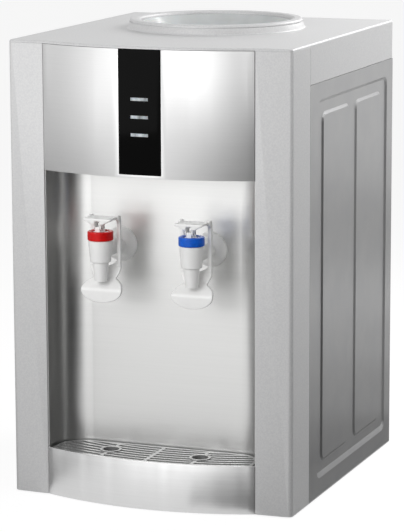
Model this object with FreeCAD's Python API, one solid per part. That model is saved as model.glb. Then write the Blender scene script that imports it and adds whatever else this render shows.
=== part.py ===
import FreeCAD, Part
import math
import os

V = FreeCAD.Vector
X = V(1, 0, 0)
Y = V(0, 1, 0)
Z = V(0, 0, 1)

# A tabletop hot and cold water dispenser that takes its bottle from above.
# Millimetres. x = 0 is the middle, y = 0 the front faces of the pillars with
# +y to the rear, z = 0 the table. The written parts are moved so that the
# origin is the middle of the whole footprint.

# Overall form
body_width = 300.0
body_depth = 327.0           # pillar faces to the outside of the rear panel
body_height = 464.0          # table to the flat of the top cover
front_bow = 21.0             # how far panel, lip and tray stand out at the middle
pillar_width = 38.0
pillar_sweep = 1.5           # the pillar's outer edge lies this far back
corner_radius = 4.0
shell_lift = 1.0             # the shells stop this far above the table
seam = 0.4                   # gap between neighbouring covers
shell = 2.5                  # moulded wall
sheet = 1.0                  # painted steel sheet
flange = 12.0                # folded edges of shells and sheets
rear_flange = 18.0           # wider folded edge that takes the rear screws
running = 0.05               # radial clearance of pins, stems and shafts
past = 1.0                   # how far a cutting shape runs past what it cuts

# Front
bezel_depth = 54.0           # side faces of the bezel
panel_height = 126.5         # upper panel, up to the top cover's lip
panel_seat_y = 8.0           # the upper panel's returns end here
lip = 2.5                    # top cover's edge above the panel
tray_top = 50.0
sill_height = 19.0
bay_back = 46.0              # face of the stainless tap panel
bay_corner = 30.0            # its rounded inside corners
tap_sheet = 0.8

# Indicator strip
strip_width = 44.5
strip_rise = 3.0             # its lower end above the panel's
strip_sheet = 1.8
strip_proud = 0.3
strip_fit = 0.1              # gap round the strip and the light bars
lens_width = 18.2
lens_height = 3.0
lens_pitch = 17.5
lens_drop = 66.5             # middle light bar below the lip
lens_depth = 7.0
lens_count = 3
post_radius = 3.0
post_reach = 28.0            # board posts above and below the middle light bar
board_sheet = 1.6
light_board_width = 32.0
light_board_height = 70.0
plug_width = 16.0
plug_depth = 6.0
plug_height = 8.0
plug_rise = 4.0              # plug above the board's lower end

# Top cover, collar and bottle seat
cover_sides = 40.3           # height of the cover's side and rear faces
cover_round = 2.25
collar_base_radius = 92.0
collar_height = 10.0
collar_bore = 79.0
collar_rim = 10.4
rim_inner_round = 3.0
rim_outer_round = 2.4
rim_groove = 0.7             # seam line round the collar, below its rim
rim_groove_drop = 3.3        # its lower edge below the rim
collar_foot_round = 2.0
collar_foot = 2.2
seat_ledge = 7.0             # ledge in the collar that carries the seat
seat_clearance = 0.4
seat_edge_drop = 3.6         # seat's edge below the collar's rim
seat_wall = 2.2
dish_radius = 48.0           # where the dish turns flatter
dish_drop = 23.0             # that turn below the flat of the cover
dish_round = 10.0
throat_radius = 29.5         # takes a 55 mm bottle neck
throat_drop = 28.0           # its upper edge below the flat of the cover
throat_length = 24.0
throat_round = 5.2

# Side panels
recess_depth = 1.6
bevel = 3.0                  # pressed slopes, seen square to the panel
recess_sill = 5.5            # wider slope along the recess's lower edge
recess_front = 24.0          # recess inside the panel's edges
recess_rear = 21.0
recess_low = 18.7
recess_top = 17.5
pad_front = 15.0             # raised pads inside the recess
pad_rear = 19.0
pad_low = 15.4
pad_top = 13.6
pad_gap = 20.0
pad_step = 1.4
press_radius = 9.0

# Base, feet and drip tray
base_sheet = 3.0
base_rim = 8.0
base_inset = 4.0
tongue_side = 2.0            # base tongue clear of the pillars
tongue_front = 1.5           # and behind the tray's apron
board_post_radius = 4.0
foot_radius = 12.0
foot_edge = 1.0
foot_height = 3.0
foot_inset_x = 26.0
foot_front_y = 24.0
foot_rear_inset = 31.0
tray_wall = 2.0
tray_clearance = 0.6
tray_lift = 0.3
apron_end = 1.6              # tray's apron ends this far behind the pillar faces
grille_thickness = 3.4
grille_drop = 0.4            # grille below the tray's front lip
grille_border = 3.6
slot_count = 7
slot_width = 4.4
rib_width = 3.6
drain_hole_radius = 8.5
drain_ring = 2.4
drain_ring_proud = 0.7
drain_hole_y = 14.0

# Taps
tap_x = 48.5
tap_y = -7.0
shank_drop = 78.5            # shank's axis below the upper panel
nozzle_drop = 29.0           # nozzle's mouth below the shank's axis
nozzle_radius = 6.3
nozzle_top_radius = 8.0
nozzle_bore = 4.6
body_drop = 9.5              # underside of the valve body below the shank's axis
body_rise = 12.3
body_low_radius = 10.4
body_top_radius = 12.2
body_round = 1.0
cup_radius = 8.6
seat_drop = 4.5              # valve seat below the shank's axis
neck_radius = 10.4
neck_rise = 18.5
ring_height = 8.8
ring_radius = 12.9
ring_foot_round = 0.6
ring_top_round = 1.2
ring_lip_bore = 8.4
bonnet_flange = 2.0
bonnet_guide_radius = 4.6
bonnet_guide = 6.0           # guide below the neck's top
guide_clearance = 2.4        # guide's top below the hinge
ear_half = 2.4
ear_radius = 1.6
stem_radius = 2.3
stem_foot = 2.0              # stem's end above the valve seat
stem_head_half = 1.9
stem_head_depth = 5.2
stem_head_height = 4.4
stem_slot_length = 3.0
stem_slot_radius = 1.1
spring_seat = 6.0            # spring's foot above the valve seat
spring_collar = 1.6
spring_collar_clearance = 1.0
seal_clearance = 1.6
seal_edge = 0.8
shank_radius = 7.0
thread_radius = 8.0
thread_spare = 3.0           # thread beyond the nut
shank_bore = 4.0
barb_radius = 6.0
barb_length = 14.0
rosette_radius = 17.4
rosette_height = 6.5
rosette_slope = 4.4          # domed edge
rosette_edge = 2.5
rosette_round = 4.0
nut_radius = 12.5
nut_height = 7.0
nut_sides = 6
hinge_rise = 6.5             # lever's hinge above the neck
hinge_v = -6.0               # and in front of the stem
pin_radius = 1.0
pin_length = 8.6
spring_radius = 6.4
spring_wire = 0.5
spring_turns = 6

# Levers: v is measured to the rear from the tap's upright axis
plate_rise = 10.0            # top plate above the hinge
plate_width = 35.2
plate_under_width = 12.0
plate_height = 6.0
plate_edge = 0.8
plate_front_v = -9.0
plate_skin = 3.0             # plate over the hinge gap
hinge_gap = 5.4
hinge_gap_end_v = 4.0
lug_width = 1.6
lug_radius = 2.0
arm_width = 3.8
arm_outer = 16.4             # outer faces of the arms from the middle
arm_front_v = 11.6
arm_back_v = 15.4
arm_rise = 1.1               # arms above the plate
arm_round = 4.0
arm_root = 3.2
web_top_drop = 3.5           # web's upper end below the shank's axis
arm_gap_radius = 16.5        # round gap between arms and web
arm_gap_rise = 1.0
web_front_v = 12.4
web_back_v = 15.0
web_round = 9.0
web_shoulder = 3.0
web_neck = 23.0              # web's width at the paddle
paddle_drop = 38.5           # paddle's middle below the shank's axis
paddle_width = 43.6
paddle_height = 25.2
paddle_front_v = -0.8
paddle_back_v = 2.6
swan_top = 14.0              # bends of the web above the paddle's middle
swan_low = 1.0
swan_shift = 1.0             # rear face's bends below the front face's
swan_top_round = 11.0
swan_low_round = 6.0
notch_radius = 7.5
notch_rise = 2.5             # notch's middle above the paddle
notch_end_v = 8.5

# Cold side
tank_gap = 4.0               # tank's wall inside the collar's bore
tank_wall = 2.5
tank_drop = 18.5             # tank's floor below the shank's axis
tank_seal_height = 3.5
seal_skirt = 6.0
seal_wall = 2.5
foam = 13.0
cooling_depth = 49.0         # cold block, fan and rear panel behind the foam
foam_drop = 21.5             # foam ends this far below the lip
outlet_stub = 30.0           # stub in front of the tank's wall, towards the cold tap
stub_root = 6.0              # how far a stub reaches behind that wall before it is trimmed
bore_root = 15.0
block_root = 20.0            # cold block's seat inside the tank's rear face
cold_block_width = 46.0
cold_block_rise = 85.0       # above the tank's underside
module_margin = 3.0
module_thickness = 4.0
sink_base = 5.0
sink_fins = 17.0
sink_width = 84.0
fin_thickness = 1.4
fin_count = 18
fan_size = 80.0
fan_depth = 15.0
fan_flange = 4.0
fan_bore = 37.0
fan_gap = 5.0                # fan clear of the rear panel
fan_screw_inset = 4.25
fan_corner = 4.5
hub_radius = 13.0
strut = 3.0
rotor_clearance = 1.2
hub_clearance = 0.6
blade_count = 7
blade_angle = 35.0
blade_chord = 18.0
blade_thickness = 1.2
fan_axle = 1.6
shelf_margin_front = 4.0
shelf_margin_rear = 10.0
shelf_side = 18.0
hose_hole_clearance = 0.5

# Hot side
hot_setback = 25.0           # hot tank's axis in front of the collar's
hot_radius = 48.0
hot_wall = 1.2
hot_height = 120.0
hot_round = 14.0
hot_foam = 10.0
stub_length = 12.0           # hose stubs beyond the foam
drain_stub_length = 2.0
heater_thickness = 2.5
heater_height = 30.0
heater_rise = 38.0
heater_split = 4.0
thermostat_radius = 8.0
thermostat_height = 7.0
thermostat_reach = 20.0
blade_tab = 0.8
blade_tab_width = 6.0
blade_tab_height = 6.0
blade_tab_pitch = 7.2
stand_height = 32.0
stand_sheet = 1.5
stand_depth = 68.0
stand_side = 6.0             # stand inside the tank's outline
stand_foot = 12.0
stand_hole_clearance = 4.0

# Hoses, drain and cap
hose_radius = 8.0
hose_bend = 14.0
hose_push = 2.0              # gap between a hose's end and the foam
hose_seat = 1.0              # gap between a tap's nut and its hose
riser_run = 5.0
feed_x = 44.0
feed_rise = 26.0             # feed above the hot tank's underside
drain_rise = 14.0            # drain above the base
drain_pipe = 18.0
drain_flange = 4.0
drain_thread = 8.0
drain_bore = 5.0
drain_reach = 10.0           # drain outlet behind the rear panel
cap_radius = 12.0
cap_roof = 3.0
cap_notch = 1.0              # base cut away round cap and gland
flute_count = 12
flute_radius = 1.6
flute_offset = 0.8

# Rear fittings
vent_length = 22.0
vent_height = 4.0
vent_pitch_x = 30.0
vent_pitch_z = 9.0
vent_bottom = 155.0
vent_rows = 6
vent_columns = 5
guard_rings = 5
guard_first = 9.0
guard_slot = 3.6
guard_pitch = 6.6
guard_bar = 3.2
switch_inset = 50.0          # switches and gland inside the cabinet's side
switch_zs = {"hot": 105.0, "cold": 70.0}
switch_width = 15.0
switch_height = 21.0
switch_rim = 1.5
switch_wall = 1.2
switch_depth = 14.0
switch_floor = 2.0
rocker_tilt = 7.0
rocker_side_clearance = 0.25
rocker_end_clearance = 1.0
rocker_pivot = 3.5           # pivot inside the rear face
rocker_pivot_radius = 1.2
rocker_pivot_reach = 0.9
rocker_back = 3.0
rocker_side = 3.2
rocker_face = 6.2
rocker_dish = 2.2
rocker_dish_radius = 20.0
gland_z = 32.0
gland_bore = 3.9
gland_neck = 7.0
gland_flange = 9.5
gland_flange_thickness = 2.0
gland_barb = 1.2
gland_inside = 7.0
gland_tail = 10.0
gland_taper = 1.6
screw_radius = 1.8
screw_head = 3.8
screw_head_height = 2.2
screw_length = 9.0
screw_inset = 9.0
screw_low = 20.0
screw_high_drop = 22.0       # highest screw below the cover's sides
screw_rows = 4

# Power board
board_width = 70.0
board_length = 100.0
board_inset_x = 55.0         # board's middle from the cabinet's side
board_inset_y = 91.0         # and from the rear panel
board_hole_inset = 6.0
transformer = (38.0, 34.0, 30.0)
transformer_place = (8.0, 10.0)
cooler = (4.0, 52.0, 26.0)
cooler_place = (54.0, 8.0)
relay = (20.0, 16.0, 16.0)
relay_place = (10.0, 74.0)
capacitor_radius = 7.0
capacitor_height = 24.0
capacitor_pitch = 20.0
capacitor_place = (18.0, 60.0)

# Values worked out from the sizes above
half = body_width / 2
half_bay = half - pillar_width
bow_radius = (half_bay ** 2 + front_bow ** 2) / (2 * front_bow)
bow_centre = bow_radius - front_bow
lip_bottom = body_height - lip
panel_bottom = lip_bottom - panel_height
skirt_bottom = body_height - cover_sides
shank_z = panel_bottom - shank_drop
tank_bottom = shank_z - tank_drop
tank_radius = collar_bore - tank_gap
lens_middle = lip_bottom - lens_drop
light_board_y = lens_depth - front_bow
base_bottom = foot_height
base_top = base_bottom + base_sheet
sheet_inside = half_bay - tap_sheet
rear_inner = body_depth - sheet
collar_y = body_depth - cooling_depth - foam - tank_radius
collar_top = body_height + collar_height
seat_floor = body_height - lip / 2
body_bottom = shank_z - body_drop
body_top = shank_z + body_rise
nozzle_bottom = shank_z - nozzle_drop
valve_seat = shank_z - seat_drop
neck_top = shank_z + neck_rise
ring_bottom = body_top + seam
ring_top = ring_bottom + ring_height
ring_lip = ring_top - neck_top - bonnet_flange
spring_foot = valve_seat + spring_seat
hinge_z = neck_top + hinge_rise
plate_top = hinge_z + plate_rise
web_top = shank_z - web_top_drop
arm_gap_z = shank_z + arm_gap_rise
web_middle = arm_gap_z - arm_gap_radius
paddle_z = shank_z - paddle_drop
paddle_top = paddle_z + paddle_height / 2
nut_front = bay_back + tap_sheet
thread_end = nut_front + nut_height + thread_spare
hose_front = thread_end + hose_seat
tank_top = lip_bottom - tank_seal_height
fan_y = rear_inner - fan_gap - fan_depth
sink_y = fan_y - sink_fins - sink_base
cold_block_rear = sink_y - module_thickness
cold_block_z = tank_bottom + cold_block_rise
cold_stub_y = collar_y - math.sqrt(tank_radius ** 2 - tap_x ** 2)
foam_bottom = tank_bottom - foam
hot_x = -tap_x
hot_y = collar_y - hot_setback
stand_top = base_top + stand_height
hot_bottom = stand_top + hot_foam
hot_top = hot_bottom + hot_height
feed_z = hot_bottom + feed_rise
drain_z = base_top + drain_rise
drain_start = rear_inner - drain_pipe
drain_end = body_depth + seam + drain_reach
cap_end = drain_end + seam + cap_roof
gland_x = half - switch_inset
switch_x = half - switch_inset
rocker_y = body_depth - rocker_pivot
board_x = half - board_inset_x
board_y = rear_inner - board_inset_y
box_middle_y = (cap_end - front_bow) / 2


# Building blocks

def block(x0, x1, y0, y1, z0, z1):
    return Part.makeBox(x1 - x0, y1 - y0, z1 - z0, V(x0, y0, z0))


def block_beside(x, width, side, y0, y1, z0, z1):
    """Block that starts at x and runs to the given side."""
    far = x + side * width
    return block(min(x, far), max(x, far), y0, y1, z0, z1)


def rod(start, axis, radius, length):
    return Part.makeCylinder(radius, length, start, axis)


def tube(start, axis, outer, inner, length):
    return rod(start, axis, outer, length).cut(rod(start, axis, inner, length))


def joined(pieces):
    solid = pieces[0].fuse(list(pieces[1:])) if len(pieces) > 1 else pieces[0]
    return solid.removeSplitter()


def cut_all(solid, tools):
    for tool in tools:
        solid = solid.cut(tool)
    return solid


def mirrored(solid):
    return solid.mirror(V(0, 0, 0), X)


def rounded_corner(before, corner, after):
    """Start, middle and end of the arc at a corner, or the corner itself three times."""
    at = V(corner[0], corner[1], 0)
    into = (at - V(before[0], before[1], 0)).normalize()
    out = (V(after[0], after[1], 0) - at).normalize()
    radius = corner[2] if len(corner) > 2 else 0
    half_turn = into.getAngle(out) / 2
    trim = radius * math.tan(half_turn)
    inwards = V(out - into).normalize() if half_turn > 0 else V(0, 0, 0)
    return at - into * trim, at + inwards * (radius / math.cos(half_turn) - radius), at + out * trim


def closed_wire(place, *corners):
    """Outline through corners (a, b) or (a, b, radius); place() gives the point in space."""
    count = len(corners)
    turns = [rounded_corner(corners[i - 1], corners[i], corners[(i + 1) % count]) for i in range(count)]
    edges = []
    for i, (start, middle, end) in enumerate(turns):
        last = turns[i - 1][2]
        if start.distanceToPoint(last) > 1e-6:
            edges.append(Part.LineSegment(place(last.x, last.y), place(start.x, start.y)).toShape())
        if start.distanceToPoint(end) > 1e-6:
            points = [place(p.x, p.y) for p in (start, middle, end)]
            edges.append(Part.Arc(*points).toShape())
    return Part.Wire(edges)


def plan_prism(z0, z1, *corners):
    """Upright prism over an outline in x and y."""
    return Part.Face(closed_wire(lambda a, b: V(a, b, z0), *corners)).extrude(Z * (z1 - z0))


def front_prism(y0, y1, *corners):
    """Prism through y over an outline in x and z."""
    return Part.Face(closed_wire(lambda a, b: V(a, y0, b), *corners)).extrude(Y * (y1 - y0))


def side_prism(x0, x1, *corners):
    """Prism through x over an outline in y and z."""
    return Part.Face(closed_wire(lambda a, b: V(x0, a, b), *corners)).extrude(X * (x1 - x0))


def turned(x, y, *corners):
    """Solid of revolution about an upright axis, over an outline in radius and z."""
    face = Part.Face(closed_wire(lambda r, z: V(x + r, y, z), *corners))
    return face.revolve(V(x, y, 0), Z, 360)


def turned_y(x, z, *corners):
    """Solid of revolution about an axis through y, over an outline in radius and y."""
    face = Part.Face(closed_wire(lambda r, y: V(x + r, y, z), *corners))
    return face.revolve(V(x, 0, z), Y, 360)


def bow_prism(half_width, inset, y_back, z0, z1):
    """Prism with the bowed front set in by a wall, straight sides and a flat back."""
    round_front = rod(V(0, bow_centre, z0), Z, bow_radius - inset, z1 - z0)
    return round_front.common(block(-half_width, half_width, -front_bow + inset - past, y_back, z0, z1))


def rounded_rectangle(x, edges, radius):
    """Wire in the plane x over y and z."""
    y0, y1, z0, z1 = edges
    return closed_wire(
        lambda y, z: V(x, y, z), (y0, z0, radius), (y1, z0, radius), (y1, z1, radius), (y0, z1, radius))


def grown(edges, margin):
    y0, y1, z0, z1 = edges
    return (y0 - margin, y1 + margin, z0 - margin, z1 + margin)


def pressed_block(edges_a, x_a, radius_a, edges_b, x_b, radius_b):
    """Solid between two rounded rectangles at two depths."""
    wires = [rounded_rectangle(x_a, edges_a, radius_a), rounded_rectangle(x_b, edges_b, radius_b)]
    return Part.makeLoft(wires, True, True)


def slot_hole(x, z, length, height, y0, y1):
    """Round-ended slot that runs along x."""
    r = height / 2
    a = length / 2
    return front_prism(y0, y1, (x - a, z - r, r), (x + a, z - r, r), (x + a, z + r, r), (x - a, z + r, r))


def hose(points, bend, outer, inner):
    """Hose along straight runs with round bends."""
    pieces = []
    start = points[0]
    for before, corner, after in zip(points, points[1:], points[2:]):
        into = V(corner - before).normalize()
        out = V(after - corner).normalize()
        turn = into.getAngle(out)
        trim = bend * math.tan(turn / 2)
        bend_start = corner - into * trim
        pieces.append(tube(start, into, outer, inner, (bend_start - start).Length))
        normal = into.cross(out).normalize()
        pivot = bend_start + normal.cross(into) * bend
        rings = [Part.Wire(Part.Circle(bend_start, into, r).toShape()) for r in (outer, inner)]
        section = Part.Face(rings)
        pieces.append(section.revolve(pivot, normal, math.degrees(turn)))
        start = corner + out * trim
    last = V(points[-1] - start)
    pieces.append(tube(start, V(last).normalize(), outer, inner, last.Length))
    return joined(pieces)


def x_bar_at(turn, centre_z, length, y0, y1, thickness):
    """Bar across a round opening, turned about the axis through y."""
    bar = block(-length, length, y0, y1, -thickness / 2, thickness / 2)
    bar.rotate(V(0, 0, 0), Y, turn)
    bar.translate(Z * centre_z)
    return bar


# Front

def pillar():
    """Right-hand pillar: an open channel with a rounded outer corner and a rear flange."""
    def channel(inset):
        return plan_prism(
            shell_lift, lip_bottom, (half_bay + inset, bezel_depth), (half_bay + inset, inset),
            (half - inset, pillar_sweep + inset, corner_radius - inset), (half - inset, bezel_depth))
    solid = channel(0).cut(channel(shell))
    opening = block(half_bay, half_bay + shell, panel_seat_y + 2 * shell, bezel_depth, shell_lift, lip_bottom)
    back = block(half - flange, half - shell, bezel_depth - shell, bezel_depth, shell_lift, lip_bottom)
    return solid.cut(opening).fuse(back)


def front_bezel():
    right = pillar()
    wide = half_bay + shell
    header = block(-wide, wide, panel_seat_y, panel_seat_y + shell, panel_bottom + shell, lip_bottom)
    ceiling = block(-wide, wide, panel_seat_y, nut_front + shell, panel_bottom, panel_bottom + shell)
    reach = half - flange
    sill = block(-reach, reach, bezel_depth - shell, bezel_depth, base_top, base_top + sill_height)
    return joined([right, mirrored(right), header, ceiling, sill])


def strip_plate(half_width, front_inset, back_inset, z0, z1):
    """Bowed plate between two insets of the front."""
    solid = bow_prism(half_width, front_inset, 0, z0, z1)
    return solid.cut(bow_prism(half_width + past, back_inset, past, z0 - past, z1 + past))


def lens_blocks(margin):
    """The light bars, or their windows when grown by a margin."""
    w = lens_width / 2 + margin
    h = lens_height / 2 + margin
    middle = (lens_count - 1) / 2
    levels = [lens_middle + (i - middle) * lens_pitch for i in range(lens_count)]
    return [block(-w, w, -front_bow - strip_proud - past, light_board_y, z - h, z + h) for z in levels]


def upper_panel():
    half_width = half_bay - seam
    top = lip_bottom - seam
    strip_bottom = panel_bottom + strip_rise
    solid = bow_prism(half_width, 0, panel_seat_y, panel_bottom, top)
    solid = solid.cut(bow_prism(
        half_width - shell, shell, panel_seat_y + past, panel_bottom + shell, top - shell))
    solid = solid.cut(strip_plate(strip_width / 2 + strip_fit, -past, strip_sheet, strip_bottom, top + past))
    backing = strip_plate(
        strip_width / 2 + shell, strip_sheet, strip_sheet + shell, strip_bottom - shell, top)
    posts = [rod(V(0, shell - front_bow, lens_middle + side * post_reach), Y, post_radius, lens_depth - shell)
             for side in (-1, 1)]
    return cut_all(joined([solid, backing] + posts), lens_blocks(strip_fit))


def indicator_strip():
    bottom = panel_bottom + strip_rise + strip_fit
    solid = strip_plate(strip_width / 2, -strip_proud, strip_sheet, bottom, lip_bottom - seam)
    return cut_all(solid, lens_blocks(strip_fit))


def indicator_lenses():
    face = bow_prism(half_bay, -strip_proud, lens_depth, shell_lift, lip_bottom)
    return [bar.common(face) for bar in lens_blocks(0)]


def indicator_board():
    back = light_board_y + board_sheet
    w = light_board_width / 2
    z0 = lens_middle - light_board_height / 2
    board = block(-w, w, light_board_y, back, z0, z0 + light_board_height)
    plug_z = z0 + plug_rise
    plug = block(-plug_width / 2, plug_width / 2, back, back + plug_depth, plug_z, plug_z + plug_height)
    return joined([board, plug])


def bay_outline(inset, front_y, z0, z1):
    """Plan of the tap bay: straight sides, rounded rear corners, flat back."""
    x = sheet_inside - inset
    y = bay_back - inset
    r = bay_corner - inset
    return plan_prism(z0, z1, (-x, front_y), (-x, y, r), (x, y, r), (x, front_y))


def tap_panel():
    front_y = corner_radius / 2
    solid = bay_outline(-tap_sheet, front_y, base_top, panel_bottom)
    solid = solid.cut(bay_outline(0, front_y - past, base_top - past, panel_bottom + past))
    holes = [rod(V(x, bay_back - past, shank_z), Y, thread_radius, tap_sheet + 2 * past)
             for x in (-tap_x, tap_x)]
    return cut_all(solid, holes)


# Top cover and bottle seat

def cover_outline(z0, z1):
    """Plan of the top cover: bowed lip, pillar fronts, straight sides."""
    r = corner_radius
    rear = body_depth
    sides = plan_prism(
        z0, z1, (half_bay, 0), (half, pillar_sweep, r), (half, rear, r), (-half, rear, r),
        (-half, pillar_sweep, r), (-half_bay, 0))
    return joined([sides, bow_prism(half_bay, 0, bezel_depth, z0, z1)])


def rounded_top(solid, radius):
    """Round the outer edges of the top face."""
    top = solid.BoundBox.ZMax
    edges = [e for e in solid.Edges if e.BoundBox.ZMin > top - radius / 100]
    return solid.makeFillet(radius, edges)


def collar():
    """Raised ring round the bottle opening, with a soft foot and a rounded rim."""
    foot_end = collar_base_radius + collar_foot
    return turned(
        0, collar_y, (collar_bore, lip_bottom), (collar_bore, collar_top, rim_inner_round),
        (collar_bore + collar_rim, collar_top, rim_outer_round),
        (collar_base_radius, body_height, collar_foot_round), (foot_end, body_height), (foot_end, lip_bottom))


def top_cover():
    rear_y = bezel_depth + seam
    plate = cover_outline(lip_bottom, body_height)
    sides = cover_outline(skirt_bottom, body_height).common(
        block(-half, half, rear_y, body_depth, skirt_bottom, body_height))
    solid = rounded_top(joined([plate, sides]), cover_round)
    hollow = block(
        shell - half, half - shell, rear_y - past, body_depth - shell, skirt_bottom - past, lip_bottom)
    bore = rod(V(0, collar_y, lip_bottom - past), Z, collar_bore - seat_ledge, lip + 2 * past)
    well = rod(V(0, collar_y, seat_floor), Z, collar_bore, collar_height)
    groove_foot = V(0, collar_y, collar_top - rim_groove_drop)
    groove = tube(groove_foot, Z, collar_base_radius, collar_bore + collar_rim, rim_groove)
    solid = solid.cut(hollow).fuse(collar())
    return solid.cut(bore).cut(well).cut(groove).removeSplitter()


def bottle_seat():
    """Dished funnel that lifts out of the collar."""
    rim = collar_bore - seat_clearance
    rim_top = collar_top - seat_edge_drop
    ledge_inner = collar_bore - seat_ledge - seat_clearance
    throat_top = body_height - throat_drop
    dish_z = body_height - dish_drop
    throat_bottom = throat_top - throat_length
    outer = throat_radius + seat_wall
    return turned(
        0, collar_y, (rim, seat_floor), (rim, rim_top), (rim - seat_wall, rim_top),
        (dish_radius, dish_z, dish_round), (throat_radius, throat_top, throat_round),
        (throat_radius, throat_bottom), (outer, throat_bottom), (outer, throat_top - seat_wall),
        (dish_radius, dish_z - seat_wall), (ledge_inner, seat_floor))


def tank_seal():
    """Soft ring over the tank's edge, under the cover's ledge."""
    outer = tank_radius + seal_wall
    inner = tank_radius - tank_wall
    low = tank_top - seal_skirt
    return turned(
        0, collar_y, (inner, tank_top), (inner, lip_bottom), (outer, lip_bottom), (outer, low),
        (tank_radius, low), (tank_radius, tank_top))


# Side, rear and base

def recess_edges():
    return (bezel_depth + recess_front, body_depth - recess_rear,
            shell_lift + recess_low, skirt_bottom - recess_top)


def pad_edges():
    """The two raised pads, side by side in the recess."""
    y0, y1, z0, z1 = recess_edges()
    width = (y1 - pad_rear - y0 - pad_front - pad_gap) / 2
    starts = [y0 + pad_front + i * (width + pad_gap) for i in range(2)]
    return [(start, start + width, z0 + pad_low, z1 - pad_top) for start in starts]


def side_panel():
    """Right-hand panel: one pressed sheet with a recess and two raised pads."""
    top = skirt_bottom - seam
    front = bezel_depth + seam
    rear = rear_inner
    inside = half - sheet
    floor = half - recess_depth
    pad = floor + pad_step
    edges = recess_edges()
    y0, y1, z0, z1 = edges
    floor_edges = (y0 + bevel, y1 - bevel, z0 + recess_sill, z1 - bevel)
    r = press_radius
    dish = pressed_block(
        grown(edges, sheet), inside, r + sheet, grown(floor_edges, sheet), floor - sheet, r - bevel + sheet)
    sink = pressed_block(edges, half, r, floor_edges, floor, r - bevel)
    solid = block(inside, half, front, rear, shell_lift, top).fuse(dish).cut(sink)
    for edges in pad_edges():
        crown = grown(edges, -bevel)
        raised = pressed_block(edges, floor, r, crown, pad, r - bevel)
        hollow = pressed_block(
            grown(edges, -sheet), floor - sheet, r - sheet,
            grown(crown, -sheet), pad - sheet, r - bevel - sheet)
        solid = solid.fuse(raised).cut(hollow)
    flanges = [
        block(half - flange, inside, front, front + sheet, shell_lift, top),
        block(half - rear_flange, inside, rear - sheet, rear, shell_lift, top),
        block(half - flange, inside, front, rear, shell_lift, base_bottom),
        block(half - flange, inside, front, rear, top - sheet, top)]
    return cut_all(joined([solid] + flanges), rear_screw_holes())


def rear_screw_places():
    """Screws that hold the rear panel to the side panels' flanges."""
    x = half - screw_inset
    pitch = (skirt_bottom - screw_high_drop - screw_low) / (screw_rows - 1)
    return [(side * x, screw_low + i * pitch) for side in (-1, 1) for i in range(screw_rows)]


def rear_screw_holes():
    return [rod(V(x, rear_inner - 2 * sheet, z), Y, screw_radius, 4 * sheet) for x, z in rear_screw_places()]


def guard_slots():
    """Finger guard in front of the fan: rings of curved slots, four to a ring."""
    slots = []
    for i in range(guard_rings):
        inner = guard_first + i * guard_pitch
        outer = inner + guard_slot
        ring = tube(V(0, rear_inner - past, cold_block_z), Y, outer, inner, sheet + 2 * past)
        start = rear_inner - 2 * past
        end = body_depth + 2 * past
        bars = [x_bar_at(turn, cold_block_z, 2 * outer, start, end, guard_bar) for turn in (45, 135)]
        slots.append(cut_all(ring, bars))
    return slots


def louvre_slots():
    middle = (vent_columns - 1) / 2
    return [slot_hole((column - middle) * vent_pitch_x, vent_bottom + row * vent_pitch_z,
                      vent_length, vent_height, rear_inner - past, body_depth + past)
            for row in range(vent_rows) for column in range(vent_columns)]


def switch_opening(z, margin, y0, y1):
    w = switch_width / 2 - switch_rim + margin
    h = switch_height / 2 - switch_rim + margin
    return block(switch_x - w, switch_x + w, y0, y1, z - h, z + h)


def rear_panel():
    x = half - sheet
    solid = block(-x, x, rear_inner, body_depth, base_bottom, skirt_bottom - seam)
    holes = guard_slots() + louvre_slots() + rear_screw_holes()
    holes += [switch_opening(z, 0, rear_inner - past, body_depth + past) for z in switch_zs.values()]
    holes.append(rod(V(gland_x, rear_inner - past, gland_z), Y, gland_neck, sheet + 2 * past))
    holes.append(rod(V(hot_x, rear_inner - past, drain_z), Y, drain_thread, sheet + 2 * past))
    return solid.cut(Part.makeCompound(holes))


def board_posts():
    """Places of the four posts under the power board."""
    dx = board_width / 2 - board_hole_inset
    dy = board_length / 2 - board_hole_inset
    return [(board_x + sx * dx, board_y + sy * dy) for sx in (-1, 1) for sy in (-1, 1)]


def base_plate():
    wide = half - base_inset
    rear = rear_inner - sheet
    front = bezel_depth + seam + sheet
    rim_top = base_top + base_rim
    tongue = bow_prism(half_bay - tongue_side, shell + tongue_front, front, base_bottom, base_top)
    floor = block(-wide, wide, front, rear, base_bottom, base_top)
    inner = wide - base_sheet
    rim = block(-wide, wide, front, rear, base_top, rim_top).cut(block(
        -inner, inner, front + base_sheet, rear - base_sheet, base_top - past, rim_top + past))
    posts = [rod(V(x, y, base_top), Z, board_post_radius, base_rim) for x, y in board_posts()]
    solid = joined([tongue, floor, rim] + posts)
    start = rear - base_sheet - past
    depth = base_sheet + 2 * past
    notches = [rod(V(hot_x, start, drain_z), Y, cap_radius + cap_notch, depth),
               rod(V(gland_x, start, gland_z), Y, gland_flange + cap_notch, depth)]
    return cut_all(solid, notches)


def feet():
    places = [(side * x, y) for side in (-1, 1)
              for x, y in ((half_bay - foot_inset_x, foot_front_y),
                           (half - foot_inset_x, body_depth - foot_rear_inset))]
    return [turned(x, y, (0, 0), (foot_radius, 0, foot_edge), (foot_radius, foot_height), (0, foot_height))
            for x, y in places]


# Drip tray and grille

def tray_outline(inset, z0, z1):
    """Plan of the tray: bowed front, sides and rear corners that follow the bay."""
    back = bay_outline(tray_clearance + inset, -front_bow - past, z0, z1)
    return back.common(bow_prism(half_bay + past, inset, bay_back, z0, z1))


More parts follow.
